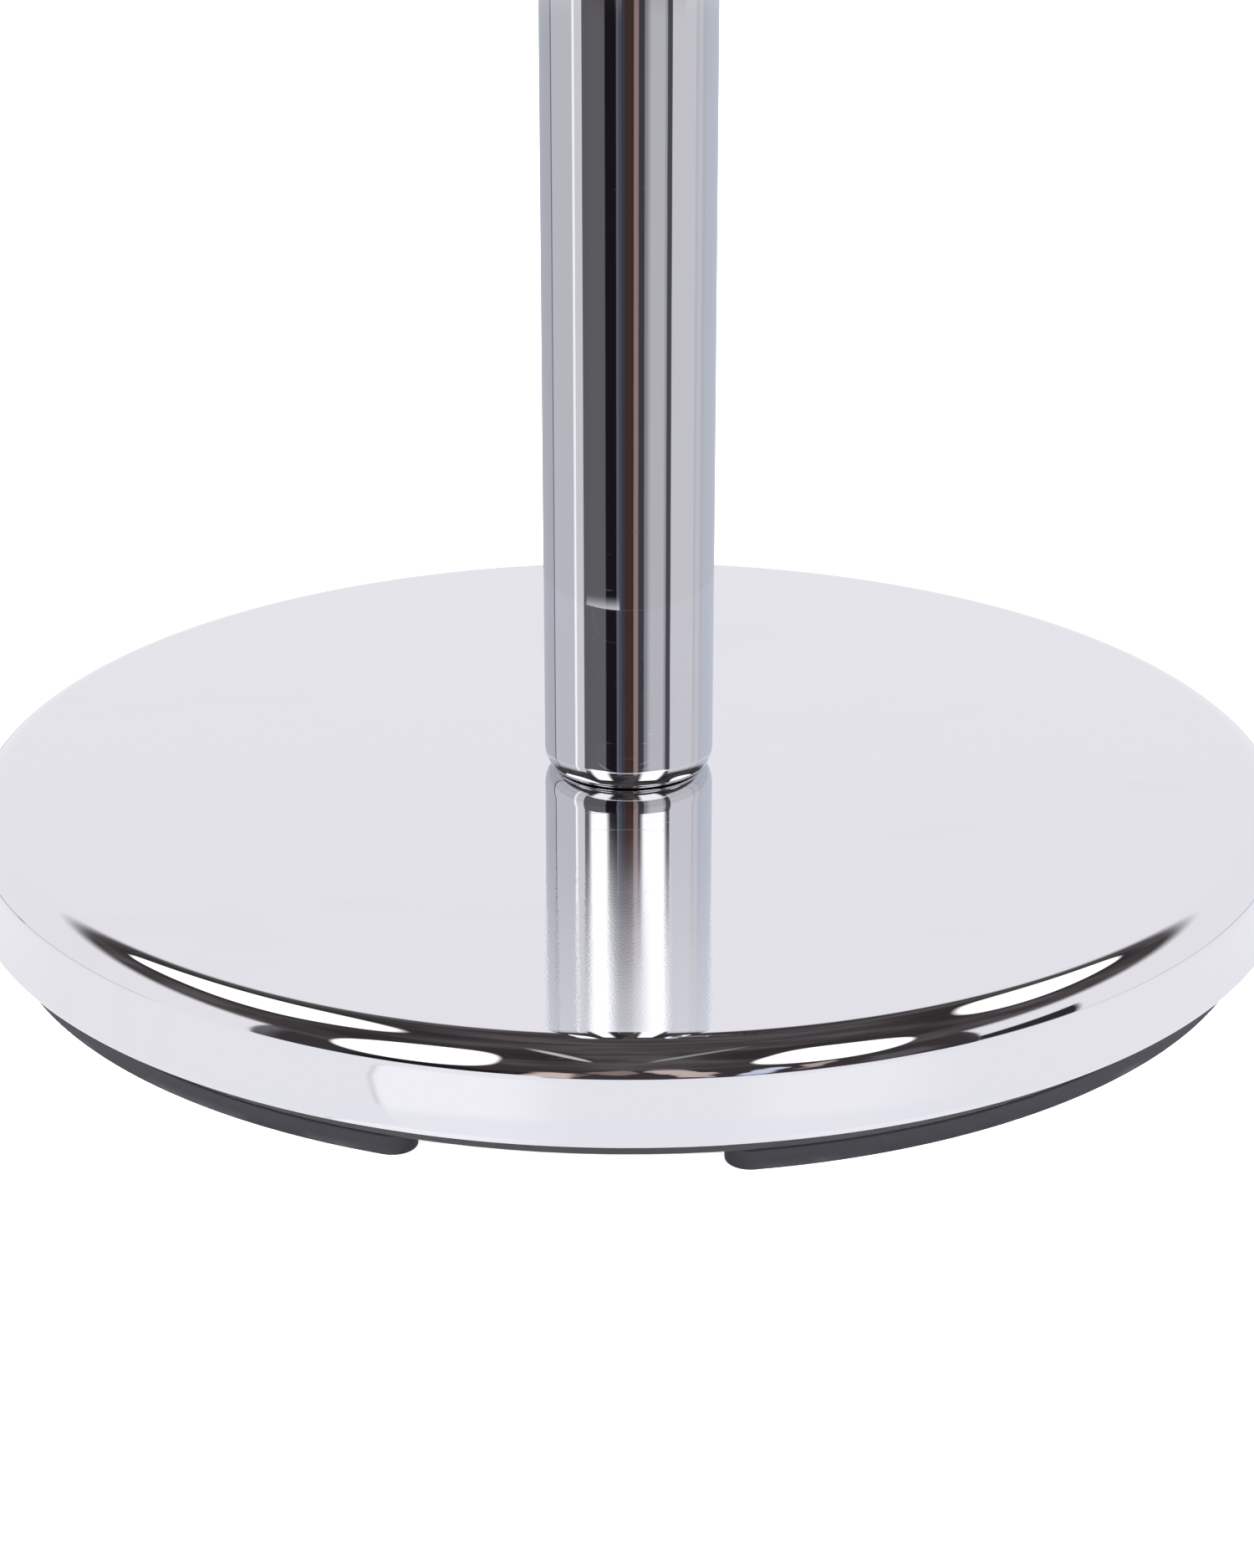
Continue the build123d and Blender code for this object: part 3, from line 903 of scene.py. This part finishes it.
def tent(tree):
    """The colour of the room in each direction."""
    x, y, z = tree.split(tree.node("ShaderNodeTexCoord").link("Generated"))
    azimuth = x.maths("ARCTAN2", x, 0.0 - y) * (180 / math.pi)
    elevation = z.maths("ARCSINE", z) * (180 / math.pi)
    once = tree.node("ShaderNodeLightPath").number("Glossy Depth").rise(1.6, 1.4)
    again = 1.0 - once
    colour = seen(166, 169, 177)
    for start, edge, shade in stripes:
        colour = tree.mix(azimuth.rise(start - edge, start + edge), colour, seen(*shade))
    upper = elevation.rise(-4.0, 9.0)
    colour = tree.node("ShaderNodeMix", {"data_type": "RGBA", "blend_type": "MULTIPLY"},
                       {0: upper, 6: colour, 7: (1.27, 1.27, 1.27, 1)}).link(2)

    near = elevation.rise(-10.5, -8.5) * once
    colour = tree.mix(near * between(azimuth, -59.0, 57.0, 2.0), colour, seen(56, 51, 54))
    around = tree.node("ShaderNodeTexCoord").link("Generated")
    sway = tree.noise(around, 9.0, 2.0) - 0.5
    for centre, half, turn, shade in front_things:
        patch = pool(azimuth + sway * 9.0, elevation + sway * 14.0, centre, half, turn, 0.7)
        colour = tree.mix(patch * near, colour, seen(*shade))
    flank = azimuth.rise(-61.5, -64.5) + azimuth.rise(57.0, 59.0)
    backdrop = flank * near
    rear = azimuth.size().rise(162.0, 172.0) * elevation.rise(6.0, 14.0)
    backdrop = backdrop.maths("MAXIMUM", backdrop, rear)
    colour = tree.mix(backdrop, colour, seen(225, 224, 229))
    gap = between(azimuth, 57.0, 77.0, 1.2) * (elevation - (azimuth - 66.0) * 0.4).rise(6.0, 3.0)
    colour = tree.mix(gap * near, colour, seen(44, 42, 47))

    u, v = x / z.maths("MAXIMUM", z, 0.05), y / z.maths("MAXIMUM", z, 0.05)
    cloth = tree.noise(around, 4.0, 2.0)
    roof = tree.mix(cloth.rise(0.35, 0.65), seen(60, 56, 58), seen(84, 80, 82))
    for centre, half, turn in (((-0.60, 0.33), (0.40, 0.58), 0), ((0.64, 0.41), (0.31, 0.54), 20),
                               ((-0.55, -0.75), (0.40, 0.50), 0), ((0.62, -0.75), (0.40, 0.50), 0)):
        roof = tree.mix(pool(u, v, centre, half, turn, 0.5) * 0.8, roof, seen(44, 40, 42))
    ceiling = (elevation - y * once * 12.0 - again * 4.0).rise(25.5, 32.5)
    colour = tree.mix(ceiling, colour, roof)
    rig = pool(u, v, (-0.165, -0.72), (0.020, 0.42), 3, 0.6) * 0.6 \
        + pool(u, v, (0.145, -0.70), (0.018, 0.45), -8, 0.7) * 0.28
    colour = tree.mix(rig * once * ceiling, colour, seen(225, 224, 226))

    straight = pool(azimuth, elevation, (-36.6, 28.9), (14.2, 24.5), 4) \
        + pool(azimuth, elevation, (36.8, 33.0), (13.0, 20.5), -29)
    low = elevation.rise(22.3, 25.5) * elevation.rise(27.0, 26.4)
    haze = elevation.rise(22.6, 27.0) * elevation.rise(27.0, 26.4) * again
    colour = tree.mix(haze * between(azimuth, -66.0, 66.0, 6.0), colour, seen(180, 179, 184, 1.27))
    colour = tree.mix(haze * 0.5, colour, seen(222, 222, 227, 1.27))
    crisp = between(azimuth, -54.0, -29.0, 4.0) + between(azimuth, 18.0, 50.5, 4.0)
    wide = azimuth.rise(-66.0, -46.0) * azimuth.rise(-11.0, -34.0) \
        + azimuth.rise(-4.0, 43.0) * azimuth.rise(66.0, 46.0)
    bounced = (crisp * (1.0 - low) + wide * low) * between(elevation, BOX_LOW, 54.0, 0.25)
    boxes = straight * once + bounced * again
    boxes = boxes + pool(u, v, (-0.60, 0.33), (0.29, 0.42), 0, 0.15, 2.6)
    boxes = boxes + pool(u, v, (0.64, 0.42), (0.212, 0.45), 20, 0.15, 2.2)
    colour = tree.mix(boxes.maths("MINIMUM", boxes, 1.0), colour, (1.7, 1.7, 1.72, 1))
    ground = elevation.rise(-30.0, -38.0)
    return tree.mix(ground, colour, seen(222, 222, 228))


world = bpy.data.worlds.new("light_tent")
scene.world = world
room = Tree(world)
plain = room.node("ShaderNodeBackground", None, {"Color": (1, 1, 1, 1), "Strength": 1.25})
mirrored = room.node("ShaderNodeBackground", None, {"Color": tent(room), "Strength": 1.0})
glossy_ray = room.node("ShaderNodeLightPath").link("Is Glossy Ray")
both = room.node("ShaderNodeMixShader", None, {0: glossy_ray, 1: plain.link(), 2: mirrored.link()})
room.node("ShaderNodeOutputWorld", None, {"Surface": both.link()})
world.cycles.sampling_method = "NONE"
print("world nodes", len(room.nodes))

# %% [markdown]
# The floor is one large plain sheet with some light of its own, like a lit table, which
# leaves hardly any shadow under the base. It is clear from below. Chrome must not see it,
# because in the tent the floor is dark beyond a small pale mat, so mirror rays pass through
# it. The pale mat is a thin disc that only mirror rays see, and only where they are short:
# it lights the side wall of the base, with a brighter sheet and a seam at the front, and
# lets the longer rays from the column through. It too is a stand-in, not a real mat.

# %% Floor and mat
def flat_sheet(name, points, faces):
    """A plain stage piece from a few points in metres."""
    mesh = bpy.data.meshes.new(name)
    mesh.from_pydata(points, [], faces)
    sheet = bpy.data.objects.new(name, mesh)
    scene.collection.objects.link(sheet)
    return sheet


floor_reach = 4.0
corners = [(-floor_reach, -floor_reach, 0), (floor_reach, -floor_reach, 0),
           (floor_reach, floor_reach, 0), (-floor_reach, floor_reach, 0)]
floor = flat_sheet("floor", corners, [(0, 1, 2, 3)])
floor.visible_glossy = False


def floor_paint():
    """A lit white sheet seen from above, clear seen from below."""
    material = bpy.data.materials.new("floor_white")
    tree = Tree(material)
    tone = tree.noise(tree.place(), 3.0, 2.0)
    colour = tree.mix(tone, (0.93, 0.93, 0.93, 1), (0.95, 0.95, 0.95, 1))
    matt = tree.node("ShaderNodeBsdfDiffuse", None, {"Color": colour})
    glow = tree.node("ShaderNodeEmission", None, {"Color": colour, "Strength": 0.8})
    lit = tree.node("ShaderNodeAddShader", None, {0: matt.link(), 1: glow.link()})
    clear = tree.node("ShaderNodeBsdfTransparent")
    behind = tree.node("ShaderNodeNewGeometry").link("Backfacing")
    either = tree.node("ShaderNodeMixShader", None, {0: behind, 1: lit.link(), 2: clear.link()})
    tree.node("ShaderNodeOutputMaterial", None, {"Surface": either.link()})
    return material


coat(floor_paint(), floor)

mat_turn = np.linspace(0, 2 * math.pi, 128, endpoint=False)
mat_radius = 0.400
mat_height = 0.0001  # just clear of the floor
mat_points = np.column_stack([
    mat_radius * np.cos(mat_turn), mat_radius * np.sin(mat_turn), np.full(128, mat_height)])
mat = flat_sheet("pale_mat", mat_points, [tuple(range(128))])
for way in ("camera", "diffuse", "transmission", "volume_scatter", "shadow"):
    setattr(mat, f"visible_{way}", False)


def mat_paint():
    """Glows for mirror rays shorter than a hand's width, and is clear for longer ones."""
    material = bpy.data.materials.new("pale_mat")
    tree = Tree(material)
    length = tree.node("ShaderNodeLightPath").number("Ray Length")
    x, y, z = tree.split(tree.place())
    angle = x.maths("ARCTAN2", x, 0.0 - y) * (180 / math.pi)
    out = (x * x + y * y) ** 0.5
    sheet = angle.rise(-25.0, -24.2) * angle.rise(-4.0, -14.0) \
        + angle.rise(8.0, 17.0) * angle.rise(36.0, 22.0) * 0.6
    tone = tree.mix(sheet, seen(227, 227, 232), seen(239, 239, 244))
    seam = between(angle, -25.4, -24.9, 0.3) * out.rise(0.206, 0.202)
    tone = tree.mix(seam * 0.7, tone, seen(205, 203, 208))
    tone = tree.mix(out.rise(0.202, 0.216) * 0.7, tone, seen(225, 226, 234))
    reach = length * (1.0 - angle.rise(-9.0, -12.0) * angle.rise(-62.0, -56.0) * 0.42)
    glow = tree.node("ShaderNodeEmission", None, {"Color": tone, "Strength": 1.0})
    clear = tree.node("ShaderNodeBsdfTransparent")
    either = tree.node("ShaderNodeMixShader", None,
                       {0: reach.rise(0.124, 0.136), 1: glow.link(), 2: clear.link()})
    tree.node("ShaderNodeOutputMaterial", None, {"Surface": either.link()})
    return material


coat(mat_paint(), mat)
print("floor reaches", floor_reach, "m, mat radius", mat_radius, "m")

# %% [markdown]
# Matt pieces need light of their own. Large area lights stand for the soft boxes, and they
# are hidden from mirror rays, because the world already shows the boxes to the chrome.

# %% Lights
def soft_box(name, place, aim, size, power):
    """A square area light that points from its place to its aim."""
    data = bpy.data.lights.new(name, "AREA")
    data.shape, data.size, data.energy = "SQUARE", size, power
    light = bpy.data.objects.new(name, data)
    scene.collection.objects.link(light)
    there, to = np.array(place, float), np.array(aim, float)
    back = (there - to) / np.linalg.norm(there - to)
    side = np.cross((0, 0, 1.0), back)
    side = side / np.linalg.norm(side)
    up = np.cross(back, side)
    turned_by = np.eye(4)
    turned_by[:3, 0], turned_by[:3, 1], turned_by[:3, 2], turned_by[:3, 3] = side, up, back, there
    light.matrix_world = [list(row) for row in turned_by]
    light.visible_glossy = False
    return light


soft_box("box_left", (-1.1, -1.0, 1.1), (0, 0, 0.05), 0.9, 13)
soft_box("box_right", (1.2, -0.9, 1.0), (0, 0, 0.05), 0.9, 11)
soft_box("box_over", (0.1, 0.3, 1.7), (0, 0, 0.05), 1.2, 16)
print("lights", sorted(light.name for light in bpy.data.lights))

# %% [markdown]
# The camera looks down on the base at about 22 degrees from the front. A long lens from
# under a metre keeps the near edge of the base a little larger than the far one.

# %% Camera
camera_data = bpy.data.cameras.new("camera")
camera_data.lens, camera_data.sensor_width = 84.8, 36.0
camera = bpy.data.objects.new("camera", camera_data)
scene.collection.objects.link(camera)
camera.location = (-0.0004, -0.780, 0.341)
camera.rotation_euler = (math.radians(90 - 22.05), 0, 0)
scene.camera = camera
scene.view_settings.view_transform = "Standard"
print("lens", camera_data.lens, "mm, camera", [round(c, 3) for c in camera.location])
